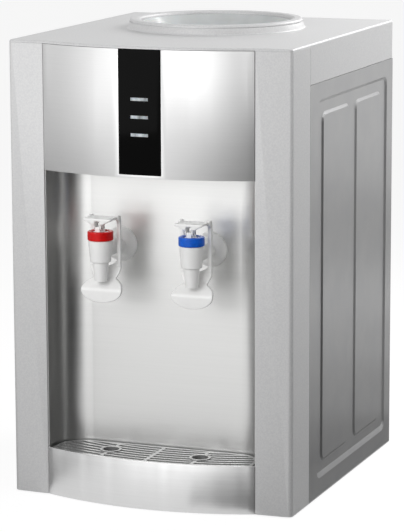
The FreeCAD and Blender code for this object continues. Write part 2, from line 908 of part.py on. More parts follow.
def drip_tray():
    bottom = base_top + tray_lift
    rim = tray_top - grille_drop - grille_thickness
    basin = tray_outline(0, bottom, rim).cut(tray_outline(tray_wall, bottom + tray_wall, rim + past))
    apron = bow_prism(half_bay - seam, 0, apron_end, shell_lift, tray_top)
    apron = apron.cut(bow_prism(half_bay, shell, apron_end + past, shell_lift - past, tray_top + past))
    ledge = tray_outline(shell, rim - tray_wall, rim).cut(
        tray_outline(shell + tray_wall, rim - tray_wall - past, rim + past))
    return joined([basin, apron, ledge])


def drip_grille():
    top = tray_top - grille_drop
    bottom = top - grille_thickness
    inset = shell + seam
    frame = tray_outline(inset, bottom, top)
    window = tray_outline(inset + grille_border, bottom - past, top + past)
    ribs = []
    outermost = bow_radius - inset - grille_border - slot_width
    for i in range(slot_count):
        r = outermost - i * (slot_width + rib_width)
        ribs.append(tube(V(0, bow_centre, bottom), Z, r, r - rib_width, grille_thickness))
    for x in (-tap_x, 0, tap_x):
        ribs.append(block(x - rib_width / 2, x + rib_width / 2, -front_bow, bay_back, bottom, top))
    ring_outer = drain_hole_radius + drain_ring
    pads = [rod(V(x, drain_hole_y, bottom), Z, ring_outer, grille_thickness) for x in (-tap_x, tap_x)]
    bars = joined(ribs + pads).common(window)
    solid = joined([frame.cut(window), bars])
    rings = [rod(V(x, drain_hole_y, top), Z, ring_outer, drain_ring_proud) for x in (-tap_x, tap_x)]
    depth = grille_thickness + drain_ring_proud + 2 * past
    holes = [rod(V(x, drain_hole_y, bottom - past), Z, drain_hole_radius, depth) for x in (-tap_x, tap_x)]
    return cut_all(joined([solid] + rings), holes)


# Taps

def tap_body(x):
    y = tap_y
    outer = turned(
        x, y, (0, nozzle_bottom), (nozzle_radius, nozzle_bottom), (nozzle_top_radius, body_bottom),
        (body_low_radius, body_bottom, body_round), (body_top_radius, body_top, body_round),
        (neck_radius, body_top), (neck_radius, neck_top), (0, neck_top))
    thread_start = bay_back - rosette_height
    shank = rod(V(x, y, shank_z), Y, shank_radius, thread_start - y)
    thread = rod(V(x, thread_start, shank_z), Y, thread_radius, thread_end - thread_start)
    barb = rod(V(x, thread_end, shank_z), Y, barb_radius, barb_length)
    solid = joined([outer, shank, thread, barb])
    cup = rod(V(x, y, valve_seat), Z, cup_radius, neck_top - valve_seat + past)
    nozzle = rod(V(x, y, nozzle_bottom - past), Z, nozzle_bore, valve_seat - nozzle_bottom + 2 * past)
    bore = rod(V(x, y, shank_z), Y, shank_bore, thread_end + barb_length - y + past)
    return cut_all(solid, [cup, nozzle, bore])


def tap_ring(x):
    """Coloured cap nut round the neck."""
    under = ring_top - ring_lip
    return turned(
        x, tap_y, (neck_radius, ring_bottom), (ring_radius, ring_bottom, ring_foot_round),
        (ring_radius, ring_top, ring_top_round), (ring_lip_bore, ring_top), (ring_lip_bore, under),
        (neck_radius, under))


def cross_pin(x, v, radius, length):
    """Rod across the tap at the height of the hinge."""
    return rod(V(x - length / 2, tap_y + v, hinge_z), X, radius, length)


def tap_bonnet(x):
    """Guide for the stem, clamped by the ring, with the lever's hinge block."""
    y = tap_y
    disc = rod(V(x, y, neck_top), Z, neck_radius - running, bonnet_flange)
    low = neck_top - bonnet_guide
    high = hinge_z - guide_clearance
    guide = rod(V(x, y, low), Z, bonnet_guide_radius, high - low)
    front = y + hinge_v
    ear = block(x - ear_half, x + ear_half, front - ear_radius, front + ear_radius, neck_top, hinge_z)
    round_top = cross_pin(x, hinge_v, ear_radius, 2 * ear_half)
    solid = joined([disc, guide, ear, round_top])
    stem_hole = rod(V(x, y, low - past), Z, stem_radius + running, high - low + 2 * past)
    return cut_all(solid, [stem_hole, cross_pin(x, hinge_v, pin_radius + running, 2 * ear_half + past)])


def tap_stem(x):
    """Lifting stem: spring collar below, slotted head above."""
    y = tap_y
    bottom = valve_seat + stem_foot
    head_bottom = hinge_z - stem_head_height / 2
    shaft = rod(V(x, y, bottom), Z, stem_radius, head_bottom - bottom)
    disc = rod(V(x, y, spring_foot - spring_collar), Z, cup_radius - spring_collar_clearance, spring_collar)
    a = stem_head_half
    b = stem_head_depth / 2
    head = block(x - a, x + a, y - b, y + b, head_bottom, head_bottom + stem_head_height)
    r = stem_slot_radius
    reach = stem_slot_length / 2
    slot = side_prism(
        x - a - past, x + a + past, (y - reach, hinge_z - r, r), (y + reach, hinge_z - r, r),
        (y + reach, hinge_z + r, r), (y - reach, hinge_z + r, r))
    return joined([shaft, disc, head]).cut(slot)


def tap_seal(x):
    """Soft plug on the stem's end that closes the nozzle."""
    top = spring_foot - spring_collar
    r = cup_radius - seal_clearance
    solid = turned(x, tap_y, (0, valve_seat), (r, valve_seat, seal_edge), (r, top), (0, top))
    return solid.cut(rod(V(x, tap_y, valve_seat + stem_foot), Z, stem_radius, top - valve_seat))


def tap_spring(x):
    """Return spring round the stem, in quarter turns of a coil."""
    low = spring_foot + spring_wire
    high = neck_top - spring_wire
    rise = (high - low) / spring_turns

    def on_coil(turn):
        angle = 2 * math.pi * turn
        side = spring_radius * math.cos(angle)
        return V(x + side, tap_y + spring_radius * math.sin(angle), low + rise * turn)

    edges = [Part.Arc(on_coil(i / 4), on_coil((i + 0.5) / 4), on_coil((i + 1) / 4)).toShape()
             for i in range(4 * spring_turns)]
    tangent = edges[0].tangentAt(edges[0].FirstParameter)
    section = Part.Wire(Part.Circle(on_coil(0), tangent, spring_wire).toShape())
    return Part.Wire(edges).makePipeShell([section], True, False)


def lever_plate(x):
    """Top plate, hollow underneath for the hinge."""
    w = plate_width / 2
    u = plate_under_width / 2
    plate = front_prism(
        tap_y + plate_front_v, tap_y + arm_front_v,
        (x - w, plate_top, plate_edge), (x + w, plate_top, plate_edge),
        (x + u, plate_top - plate_height), (x - u, plate_top - plate_height))
    gap = hinge_gap / 2
    return plate.cut(block(
        x - gap, x + gap, tap_y + plate_front_v - past, tap_y + hinge_gap_end_v,
        plate_top - plate_height - past, plate_top - plate_skin))


def lever_lug(x, side):
    """Cheek beside the hinge block and the stem's head."""
    start = x + side * hinge_gap / 2
    front = tap_y + hinge_v
    r = lug_radius
    corner = min(start, start + side * lug_width)
    return side_prism(
        corner, corner + lug_width, (front - r, plate_top - plate_skin), (front - r, hinge_z - r, r),
        (tap_y + r, hinge_z - r, r), (tap_y + r, plate_top - plate_skin))


def lever_arm(x, side):
    inner = x + side * (arm_outer - arm_width)
    corner = min(inner, inner + side * arm_width)
    front = tap_y + arm_front_v
    back = tap_y + arm_back_v
    top = plate_top + arm_rise
    return side_prism(
        corner, corner + arm_width, (front - arm_round, plate_top - arm_root), (front - arm_round, top),
        (back, top, arm_round), (back, web_middle), (front, web_middle), (front, plate_top - plate_height))


def lever_web(x):
    """Web between the arms and the oval paddle, cut from one bent band."""
    front = tap_y + plate_front_v - notch_radius
    back = tap_y + arm_back_v + notch_radius
    n = web_neck / 2
    shoulder = web_middle - web_shoulder
    outline = front_prism(
        front, back, (x - arm_outer, web_top + past), (x - arm_outer, shoulder, web_round),
        (x - n, paddle_top - web_shoulder), (x - n, paddle_z), (x + n, paddle_z),
        (x + n, paddle_top - web_shoulder), (x + arm_outer, shoulder, web_round),
        (x + arm_outer, web_top + past))
    oval = Part.Ellipse(V(x, front, paddle_z), paddle_width / 2, paddle_height / 2)
    oval.rotate(FreeCAD.Placement(V(x, front, paddle_z), FreeCAD.Rotation(X, 90), V(0, 0, 0)))
    paddle = Part.Face(Part.Wire(oval.toShape())).extrude(Y * (back - front))
    seen = joined([outline, paddle]).cut(rod(V(x, front, arm_gap_z), Y, arm_gap_radius, back - front))
    low = paddle_z - paddle_height / 2 - past
    y = tap_y
    band = side_prism(
        x - paddle_width, x + paddle_width, (y + web_front_v, web_top),
        (y + web_front_v, paddle_z + swan_top, swan_top_round),
        (y + paddle_front_v, paddle_z + swan_low, swan_low_round),
        (y + paddle_front_v, low), (y + paddle_back_v, low), (y + paddle_back_v, paddle_z - swan_shift),
        (y + web_back_v, paddle_z + swan_top - swan_shift, swan_top_round - swan_shift),
        (y + web_back_v, web_top))
    notch = rod(V(x, front, paddle_top + notch_rise), Y, notch_radius, y + notch_end_v - front)
    return seen.common(band).cut(notch)


def tap_lever(x):
    """Push lever: top plate with two lugs, two rear arms, web and paddle in one moulding."""
    pieces = [lever_plate(x), lever_web(x)]
    for side in (-1, 1):
        pieces.append(lever_lug(x, side))
        pieces.append(lever_arm(x, side))
    reach = hinge_gap + 2 * lug_width + 2 * past
    return cut_all(joined(pieces), [cross_pin(x, v, pin_radius, reach) for v in (hinge_v, 0)])


def lever_pins(x):
    return [cross_pin(x, v, pin_radius, pin_length) for v in (hinge_v, 0)]


def tap_rosettes():
    """Domed washers between the taps and the tap panel."""
    front = bay_back - rosette_height
    return [turned_y(
        x, shank_z, (thread_radius, front), (rosette_radius - rosette_slope, front, rosette_round),
        (rosette_radius, bay_back - rosette_edge, rosette_round), (rosette_radius, bay_back),
        (thread_radius, bay_back)) for x in (-tap_x, tap_x)]


def tap_nuts():
    solids = []
    for x in (-tap_x, tap_x):
        angles = [2 * math.pi * i / nut_sides for i in range(nut_sides)]
        corners = [(x + nut_radius * math.cos(a), shank_z + nut_radius * math.sin(a)) for a in angles]
        hexagon = front_prism(nut_front, nut_front + nut_height, *corners)
        hole = rod(V(x, nut_front - past, shank_z), Y, thread_radius, nut_height + 2 * past)
        solids.append(hexagon.cut(hole))
    return solids


# Cold side

def cold_stubs(radius, spare, root):
    """Outlet in line with the cold tap, and the feed stub below."""
    front = cold_stub_y - outlet_stub - spare
    low = foam_bottom - stub_length - spare
    return [rod(V(tap_x, front, shank_z), Y, radius, cold_stub_y + root - front),
            rod(V(feed_x, hot_y, low), Z, radius, tank_bottom + root - low)]


def cold_tank():
    inner = tank_radius - tank_wall
    floor = tank_bottom + tank_wall
    solid = turned(
        0, collar_y, (0, tank_bottom), (tank_radius, tank_bottom), (tank_radius, tank_top),
        (inner, tank_top), (inner, floor), (0, floor))
    inside = rod(V(0, collar_y, floor), Z, inner, tank_top - floor)
    solid = joined([solid] + [stub.cut(inside) for stub in cold_stubs(barb_radius, 0, stub_root)])
    return cut_all(solid, cold_stubs(shank_bore, past, bore_root) + [cold_block()])


def cold_block():
    w = cold_block_width / 2
    front = collar_y + tank_radius - block_root
    return block(-w, w, front, cold_block_rear, cold_block_z - w, cold_block_z + w)


def cold_tank_foam():
    outer = tank_radius + foam
    top = lip_bottom - foam_drop
    solid = turned(
        0, collar_y, (0, foam_bottom), (outer, foam_bottom), (outer, top), (tank_radius, top),
        (tank_radius, tank_bottom), (0, tank_bottom))
    return cut_all(solid, cold_stubs(barb_radius, past, bore_root) + [cold_block()])


def thermo_module():
    w = cold_block_width / 2 - module_margin
    return block(-w, w, cold_block_rear, sink_y, cold_block_z - w, cold_block_z + w)


def fan_screw_places():
    d = fan_size / 2 - fan_screw_inset
    return [(sx * d, cold_block_z + sz * d) for sx in (-1, 1) for sz in (-1, 1)]


def fan_screws():
    """Screws through the fan's corners into the heat sink."""
    head_y = fan_y + fan_flange
    return [joined([rod(V(x, head_y - screw_length, z), Y, screw_radius, screw_length),
                    rod(V(x, head_y, z), Y, screw_head, screw_head_height)]) for x, z in fan_screw_places()]


def heat_sink():
    w = sink_width / 2
    z0 = cold_block_z - w
    z1 = cold_block_z + w
    pieces = [block(-w, w, sink_y, sink_y + sink_base, z0, z1)]
    pitch = (sink_width - fin_thickness) / (fin_count - 1)
    for i in range(fin_count):
        x = -w + i * pitch
        pieces.append(block(x, x + fin_thickness, sink_y + sink_base, fan_y, z0, z1))
    return cut_all(joined(pieces), fan_screws())


def fan_frame():
    w = fan_size / 2
    c = cold_block_z
    back = fan_y + fan_depth
    solid = block(-w, w, fan_y, back, c - w, c + w)
    solid = solid.cut(rod(V(0, fan_y - past, c), Y, fan_bore, fan_depth + 2 * past))
    hub = rod(V(0, back - strut, c), Y, hub_radius, strut)
    struts = [x_bar_at(turn, c, fan_bore + past, back - strut, back, strut) for turn in (0, 90)]
    k = fan_corner
    corners = [block(x - k, x + k, fan_y + fan_flange, back + past, z - k, z + k)
               for x, z in fan_screw_places()]
    shaft_hole = rod(V(0, fan_y, c), Y, fan_axle + running, fan_depth + past)
    return cut_all(joined([solid, hub] + struts), corners + [shaft_hole] + fan_screws())


def fan_rotor():
    c = cold_block_z
    y0 = fan_y + rotor_clearance
    y1 = fan_y + fan_depth - strut - hub_clearance
    axle_end = fan_y + fan_depth - hub_clearance
    hub = rod(V(0, y0, c), Y, hub_radius, y1 - y0)
    axle = rod(V(0, y1 - past, c), Y, fan_axle, axle_end - y1 + past)
    reach = fan_bore - rotor_clearance
    blades = []
    for i in range(blade_count):
        b = blade_chord / 2
        blade = block(-b, b, -blade_thickness / 2, blade_thickness / 2, 0, reach)
        blade.rotate(V(0, 0, 0), Z, blade_angle)
        blade.rotate(V(0, 0, 0), Y, i * 360 / blade_count)
        blade.translate(V(0, (y0 + y1) / 2, c))
        blades.append(blade)
    envelope = rod(V(0, y0, c), Y, reach, y1 - y0)
    return joined([hub, axle] + [blade.common(envelope) for blade in blades])


def tank_shelf():
    """Sheet shelf between the side panels that carries the cold tank."""
    top = foam_bottom
    x = half - recess_depth - sheet
    y0 = collar_y - tank_radius - foam + shelf_margin_front
    y1 = collar_y + tank_radius + foam + shelf_margin_rear
    plate = block(-x, x, y0, y1, top - sheet, top)
    sides = [block_beside(s * x, sheet, -s, y0, y1, top - shelf_side, top) for s in (-1, 1)]
    radius = hose_radius + hose_hole_clearance
    hole = rod(V(feed_x, hot_y, top - sheet - past), Z, radius, sheet + 2 * past)
    return joined([plate] + sides).cut(hole)


# Hot side

def hot_shape(grow):
    """Tank envelope, grown outwards by a thickness."""
    r = hot_radius + grow
    z0 = hot_bottom - grow
    z1 = hot_top + grow
    c = hot_round + grow
    return turned(hot_x, hot_y, (0, z0), (r, z0, c), (r, z1, c), (0, z1))


def hot_stubs(radius, extra):
    """Outlet above, feed at the side and drain below."""
    reach = hot_foam + stub_length + extra
    return [rod(V(hot_x, hot_y, hot_top - extra), Z, radius, reach),
            rod(V(hot_x + hot_radius - extra, hot_y, feed_z), X, radius, reach),
            rod(V(hot_x, hot_y, hot_bottom + extra), -Z, radius, hot_foam + drain_stub_length + extra)]


def hot_tank():
    solid = joined([hot_shape(0)] + hot_stubs(barb_radius, hot_wall))
    return cut_all(solid.cut(hot_shape(-hot_wall)), hot_stubs(shank_bore, hot_wall + 2 * shank_bore))


def heater_band():
    z0 = hot_bottom + heater_rise
    outer = hot_radius + heater_thickness
    band = tube(V(hot_x, hot_y, z0), Z, outer, hot_radius, heater_height)
    s = heater_split / 2
    front = hot_y - outer - past
    back = hot_y - hot_radius + heater_split
    return band.cut(block(hot_x - s, hot_x + s, front, back, z0 - past, z0 + heater_height + past))


def thermostats():
    solids = []
    top = hot_top + thermostat_height
    for side in (-1, 1):
        x = hot_x + side * thermostat_reach
        cup = rod(V(x, hot_y, hot_top), Z, thermostat_radius, thermostat_height)
        tabs = []
        for s in (-1, 1):
            middle = x + s * blade_tab_pitch / 2
            tabs.append(block(middle - blade_tab / 2, middle + blade_tab / 2, hot_y - blade_tab_width / 2,
                              hot_y + blade_tab_width / 2, top, top + blade_tab_height))
        solids.append(joined([cup] + tabs))
    return solids


def hot_tank_foam():
    solid = hot_shape(hot_foam).cut(hot_shape(0))
    solid = cut_all(solid, hot_stubs(barb_radius, hot_wall) + [heater_band()])
    return solid.cut(Part.makeCompound(thermostats()))


def hot_tank_stand():
    """Sheet bridge that carries the hot tank on the base."""
    w = hot_radius - stand_side
    y0 = hot_y - stand_depth / 2
    y1 = hot_y + stand_depth / 2
    pieces = [block(hot_x - w, hot_x + w, y0, y1, stand_top - stand_sheet, stand_top)]
    for side in (-1, 1):
        x = hot_x + side * w
        pieces.append(block_beside(x, stand_sheet, -side, y0, y1, base_top, stand_top))
        pieces.append(block_beside(x, stand_foot, side, y0, y1, base_top, base_top + stand_sheet))
    radius = hose_radius + stand_hole_clearance
    hole = rod(V(hot_x, hot_y, stand_top - stand_sheet - past), Z, radius, stand_sheet + 2 * past)
    return joined(pieces).cut(hole)


# Hoses

def hot_tap_hose():
    start_z = hot_top + hot_foam + hose_push
    run_z = start_z + hose_bend + stub_length
    riser_y = hose_front + 2 * hose_bend + riser_run
    points = [V(hot_x, hot_y, start_z), V(hot_x, hot_y, run_z), V(hot_x, riser_y, run_z),
              V(hot_x, riser_y, shank_z), V(-tap_x, hose_front, shank_z)]
    return hose(points, hose_bend, hose_radius, barb_radius)


def cold_tap_hose():
    end = collar_y - math.sqrt((tank_radius + foam) ** 2 - (tap_x - hose_radius) ** 2) - seam
    return tube(V(tap_x, hose_front, shank_z), Y, hose_radius, barb_radius, end - hose_front)


def feed_hose():
    start_x = hot_x + hot_radius + hot_foam + hose_push
    points = [V(feed_x, hot_y, foam_bottom - hose_push), V(feed_x, hot_y, feed_z), V(start_x, hot_y, feed_z)]
    return hose(points, hose_bend, hose_radius, barb_radius)


def drain_hose():
    corner = V(hot_x, hot_y, drain_z)
    points = [V(hot_x, hot_y, stand_top - hose_seat), corner, V(hot_x, drain_start, drain_z)]
    return hose(points, hose_bend, hose_radius, barb_radius)


# Drain outlet, cap and rear fittings

def drain_outlet():
    pipe = rod(V(hot_x, drain_start, drain_z), Y, drain_thread, drain_end - drain_start)
    inner_flange = rod(V(hot_x, rear_inner - drain_flange, drain_z), Y, cap_radius - cap_notch, drain_flange)
    bore = rod(V(hot_x, drain_start - past, drain_z), Y, drain_bore, drain_end - drain_start + 2 * past)
    return joined([pipe, inner_flange]).cut(bore)


def drain_cap():
    """Screw cap with grip flutes."""
    y0 = body_depth + seam
    length = cap_end - y0
    solid = rod(V(hot_x, y0, drain_z), Y, cap_radius, length)
    socket = rod(V(hot_x, y0 - past, drain_z), Y, drain_thread + running, length - cap_roof + past)
    flutes = []
    for i in range(flute_count):
        angle = 2 * math.pi * i / flute_count
        reach = cap_radius + flute_offset
        at = V(hot_x + reach * math.cos(angle), y0 - past, drain_z + reach * math.sin(angle))
        flutes.append(rod(at, Y, flute_radius, length + 2 * past))
    return cut_all(solid, [socket] + flutes)


def cord_gland():
    """Plain gland for the mains lead."""
    face = body_depth
    flange_back = face + gland_flange_thickness
    inner_end = rear_inner - gland_inside
    tail = face + gland_tail
    return turned_y(
        gland_x, gland_z, (gland_bore, inner_end), (gland_neck, inner_end),
        (gland_neck + gland_barb, rear_inner - sheet), (gland_neck + gland_barb, rear_inner),
        (gland_neck, rear_inner), (gland_neck, face), (gland_flange, face), (gland_flange, flange_back),
        (gland_neck, flange_back + sheet), (gland_neck - gland_taper, tail), (gland_bore, tail))


def switch_frames():
    solids = []
    w = switch_width / 2
    h = switch_height / 2
    for z in switch_zs.values():
        rim = block(switch_x - w, switch_x + w, body_depth, body_depth + switch_rim, z - h, z + h)
        body = switch_opening(z, 0, body_depth - switch_depth, body_depth)
        pocket = switch_opening(
            z, -switch_wall, body_depth - switch_depth + switch_floor, body_depth + switch_rim + past)
        reach = w - past
        pivot = rod(V(switch_x - reach, rocker_y, z), X, rocker_pivot_radius + running, 2 * reach)
        solids.append(joined([rim, body]).cut(pocket).cut(pivot))
    return solids


def switch_rocker(z):
    """Rocker shown pressed at its lower half."""
    w = switch_width / 2 - switch_rim - switch_wall - rocker_side_clearance
    h = switch_height / 2 - switch_rim - switch_wall - rocker_end_clearance
    y = rocker_y
    shape = side_prism(
        switch_x - w, switch_x + w, (y - rocker_back, -rocker_back), (y + rocker_side, -h),
        (y + rocker_face, -h), (y + rocker_face - rocker_dish, 0, rocker_dish_radius),
        (y + rocker_face, h), (y + rocker_side, h), (y - rocker_back, rocker_back))
    reach = w + rocker_pivot_reach
    pivot = rod(V(switch_x - reach, y, 0), X, rocker_pivot_radius, 2 * reach)
    solid = joined([shape, pivot])
    solid.rotate(V(switch_x, y, 0), X, rocker_tilt)
    solid.translate(Z * z)
    return solid


def on_board(size, place, corner):
    """Block of a given size, placed from the power board's corner."""
    x0 = corner.x + place[0]
    y0 = corner.y + place[1]
    return block(x0, x0 + size[0], y0, y0 + size[1], corner.z, corner.z + size[2])


def power_board():
    low = V(board_x - board_width / 2, board_y - board_length / 2, base_top + base_rim)
    top = low + Z * board_sheet
    board = on_board((board_width, board_length, board_sheet), (0, 0), low)
    pieces = [on_board(transformer, transformer_place, top), on_board(cooler, cooler_place, top),
              on_board(relay, relay_place, top)]
    for i in range(2):
        at = top + V(capacitor_place[0] + i * capacitor_pitch, capacitor_place[1], 0)
        pieces.append(rod(at, Z, capacitor_radius, capacitor_height))
    return joined([board] + pieces)


def screws():
    rear = [joined([rod(V(x, body_depth - screw_length, z), Y, screw_radius, screw_length),
                    rod(V(x, body_depth, z), Y, screw_head, screw_head_height)])
            for x, z in rear_screw_places()]
    return rear + fan_screws()


def build():
    right = side_panel()
    parts = {
        "front_bezel": front_bezel(),
        "upper_panel": upper_panel(),
        "indicator_strip": indicator_strip(),
        "indicator_lenses": indicator_lenses(),
        "indicator_board": indicator_board(),
        "tap_panel": tap_panel(),
        "top_cover": top_cover(),
        "bottle_seat": bottle_seat(),
        "tank_seal": tank_seal(),
        "right_side_panel": right,
        "left_side_panel": mirrored(right),
        "rear_panel": rear_panel(),
        "base_plate": base_plate(),
        "feet": feet(),
        "drip_tray": drip_tray(),
        "drip_grille": drip_grille(),
        "tap_rosettes": tap_rosettes(),
        "tap_nuts": tap_nuts(),
        "hot_tap_hose": hot_tap_hose(),
        "cold_tap_hose": cold_tap_hose(),
        "cold_tank": cold_tank(),
        "cold_tank_foam": cold_tank_foam(),
        "cold_block": cold_block(),
        "thermo_module": thermo_module(),
        "heat_sink": heat_sink(),
        "fan_frame": fan_frame(),
        "fan_rotor": fan_rotor(),
        "hot_tank": hot_tank(),
        "hot_tank_foam": hot_tank_foam(),
        "heater_band": heater_band(),
        "thermostats": thermostats(),
        "hot_tank_stand": hot_tank_stand(),
        "tank_shelf": tank_shelf(),
        "feed_hose": feed_hose(),
        "drain_hose": drain_hose(),
        "drain_outlet": drain_outlet(),
        "drain_cap": drain_cap(),
        "cord_gland": cord_gland(),
        "power_board": power_board(),
        "switch_frames": switch_frames(),
        "screws": screws(),
    }
    for name, x in (("hot", -tap_x), ("cold", tap_x)):
        parts[name + "_tap_body"] = tap_body(x)
        parts[name + "_tap_ring"] = tap_ring(x)
        parts[name + "_tap_bonnet"] = tap_bonnet(x)
        parts[name + "_tap_stem"] = tap_stem(x)
        parts[name + "_tap_seal"] = tap_seal(x)
        parts[name + "_tap_spring"] = tap_spring(x)
        parts[name + "_lever"] = tap_lever(x)
        parts[name + "_lever_pins"] = lever_pins(x)
        parts[name + "_switch"] = switch_rocker(switch_zs[name])
    return parts


def write(name, shape):
    solids = shape if isinstance(shape, list) else [shape]
    group = solids[0] if len(solids) == 1 else Part.makeCompound(solids)
    group.translate(V(0, -box_middle_y, 0))
    group.exportStep("parts/" + name + ".step")


os.makedirs("parts", exist_ok=True)
for part_name, part_shape in build().items():
    write(part_name, part_shape)
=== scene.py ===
import math

import bpy
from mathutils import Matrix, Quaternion, Vector


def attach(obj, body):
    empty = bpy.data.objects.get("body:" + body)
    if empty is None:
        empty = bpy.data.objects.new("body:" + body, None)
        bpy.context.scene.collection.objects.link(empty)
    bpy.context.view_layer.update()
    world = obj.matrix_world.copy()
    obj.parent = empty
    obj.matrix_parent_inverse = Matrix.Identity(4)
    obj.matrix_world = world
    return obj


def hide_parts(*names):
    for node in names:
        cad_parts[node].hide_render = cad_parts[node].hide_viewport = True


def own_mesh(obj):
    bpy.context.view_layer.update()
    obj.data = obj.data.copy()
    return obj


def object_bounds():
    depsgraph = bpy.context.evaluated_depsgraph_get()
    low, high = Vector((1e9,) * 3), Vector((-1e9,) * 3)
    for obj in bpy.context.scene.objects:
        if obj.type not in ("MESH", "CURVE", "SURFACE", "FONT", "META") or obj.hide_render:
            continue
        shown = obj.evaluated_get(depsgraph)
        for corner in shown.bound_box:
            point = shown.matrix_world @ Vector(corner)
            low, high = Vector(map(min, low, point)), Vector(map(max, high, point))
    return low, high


# The looks of a tabletop hot and cold water dispenser, laid over its packed
# solids. Metres, in the frame of the solids: x to the right, y to the rear.

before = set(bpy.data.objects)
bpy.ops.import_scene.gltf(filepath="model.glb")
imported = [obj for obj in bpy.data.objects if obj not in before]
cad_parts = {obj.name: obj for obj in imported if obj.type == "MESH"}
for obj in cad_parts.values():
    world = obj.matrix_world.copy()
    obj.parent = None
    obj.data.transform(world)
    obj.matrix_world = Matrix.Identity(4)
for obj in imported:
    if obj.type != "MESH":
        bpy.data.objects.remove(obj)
cad_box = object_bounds()

MM_PER_METRE = 1000

# Camera, matched to the photograph's frame: angles in degrees, sensor in mm
AIM = Vector((-0.0015, -0.0099, 0.218))
AZIMUTH = 21.2
ELEVATION = 10.578
ROLL = -0.213
DISTANCE = 2.7536
FOCAL_PIXELS = 2638.8
FRAME_HEIGHT_PIXELS = 532
SENSOR = 36.0
FAR_CLIP = 100

# White surround: its fill on matt surfaces, the floor's own glow and the floor's half width
FILL = 0.33
FLOOR_GLOW = 0.86
FLOOR_REACH = 14.0

# Softboxes: azimuth, elevation, distance, width, height, power in watts
LAMPS = {
    "key": (-9, 18, 1.5, 0.9, 0.7, 7.2),
    "near": (-28, 22, 0.8, 0.5, 0.5, 0.95),
    "side": (95, 40, 0.75, 0.6, 0.5, 1.35),
    "rear": (150, 35, 1.2, 0.5, 0.5, 6.6),
    "top": (0, 88, 1.2, 1.0, 0.8, 1.4),
}

# Cards, dark to white, that only gloss sees: tone, azimuths from and to, and then the
# reach and height of each edge. LOW is the height of a card that lies over the floor.
LOW = 0.002
CARDS = {
    "right_pale_card": ("808080", 13, 22, (0.2, LOW), (0.42, LOW)),
    "right_near_card": ("404040", 22, 112, (0.2, LOW), (0.42, LOW)),
    "right_floor_card": ("202020", 9, 112, (0.42, LOW), (1.3, LOW), (1.3, 0.1)),
    "right_standing_card": ("202020", 28, 112, (1.3, 0.1), (1.3, 1.1)),
    "left_floor_card": ("505050", -105, -37, (0.2, LOW), (1.3, LOW)),
    "side_near_card": ("707070", 44, 112, (0.14, LOW), (0.2, LOW)),
    "rear_near_card": ("707070", 112, 200, (0.14, LOW), (0.34, LOW)),
    "rear_middle_card": ("A0A0A0", 112, 200, (0.34, LOW), (0.6, LOW)),
    "rear_far_card": ("C4C4C4", 112, 200, (0.6, LOW), (0.9, LOW)),
    "rear_last_card": ("FFFFFF", 112, 200, (0.9, LOW), (2.0, LOW)),
}
CARD_STEPS = 12

# Soft edges: width in mm, and the least angle in degrees that counts as an edge
SOFT_EDGES = {
    "right_side_panel": (1.3, 12), "left_side_panel": (1.3, 12), "top_cover": (1.4, 30),
    "front_bezel": (0.6, 30), "upper_panel": (0.4, 30), "drip_tray": (0.5, 30),
}
EDGE_SEGMENTS = 3
WELD_REACH = 0.00001

TAPS = ("hot", "cold")

# Softened levers: voxel of the skin, and how strongly and how often it is smoothed
LEVER_VOXEL = 0.0004
LEVER_SMOOTHING = 0.5
LEVER_PASSES = 20

# Back of the drip tray's bowed apron: its depth behind the foremost point, its middle, and
# the radius of the bow
APRON_DEPTH = 0.004
APRON_MIDDLE = cad_box[0][1] + APRON_DEPTH
APRON_RADIUS = 0.309

# Patterns: the middle of noise and how far it strays, how much coarser a moulding is
# mottled than textured, and the sizes of features in mm
NOISE_MIDDLE = 0.5
USUAL_SPREAD = 0.15
MOTTLE_TO_TEXTURE = 4
SPANGLE_MM = 8
BEAD_MM = 4
TRACK_MM = 9

# Turn of the shader's tangent that lays the brushing level, in whole turns
LEVEL_BRUSHING = 0.25

# Colour sockets of the Mix node, whose names repeat
MIX_SHARE, MIX_FIRST, MIX_SECOND, MIX_RESULT = 0, 6, 7, 2


def linear(hex_colour):
    """sRGB hex, such as C9CACB, as linear colour with full alpha."""
    channels = [int(hex_colour[i:i + 2], 16) / 255 for i in (0, 2, 4)]
    bent = [c / 12.92 if c <= 0.04045 else ((c + 0.055) / 1.055) ** 2.4 for c in channels]
    return (*bent, 1.0)


def node(tree, kind, inputs=None, **settings):
    """Adds one shader node. Inputs hold numbers, colours or other nodes' outputs."""
    made = tree.nodes.new("ShaderNode" + kind)
    for name, value in settings.items():
        setattr(made, name, value)
    for name, value in (inputs or {}).items():
        if isinstance(value, bpy.types.NodeSocket):
            tree.links.new(value, made.inputs[name])
        else:
            made.inputs[name].default_value = value
    return made


def place_on_piece(tree):
    """Position in the piece's own frame, in metres."""
    return node(tree, "TexCoord").outputs["Object"]


def blended(tree, share, first, second):
    """Colour between two colours."""
    mix = node(tree, "Mix", {
        MIX_SHARE: share, MIX_FIRST: first, MIX_SECOND: second}, data_type="RGBA")
    return mix.outputs[MIX_RESULT]


def add_object(name, data):
    """New object, put into the scene."""
    made = bpy.data.objects.new(name, data)
    bpy.context.scene.collection.objects.link(made)
    return made


# Finishes

def finish(name, colour, roughness, **shader):
    """New material whose shader has these numbers; returns it with its tree and shader."""
    made = bpy.data.materials.new(name)
    made.use_nodes = True
    surface = made.node_tree.nodes["Principled BSDF"]
    surface.inputs["Base Color"].default_value = linear(colour)
    surface.inputs["Roughness"].default_value = roughness
    for socket, value in shader.items():
        surface.inputs[socket.replace("_", " ")].default_value = value
    return made, made.node_tree, surface


def grain(tree, size_mm, draw=(1, 1, 1), detail=2.0):
    """Noise with features of this size, drawn out along the axes where draw is small."""
    laid = node(tree, "Mapping", {"Vector": place_on_piece(tree), "Scale": draw})
    noise = node(tree, "TexNoise", {
        "Vector": laid.outputs["Vector"], "Scale": MM_PER_METRE / size_mm, "Detail": detail})
    return noise.outputs["Fac"]


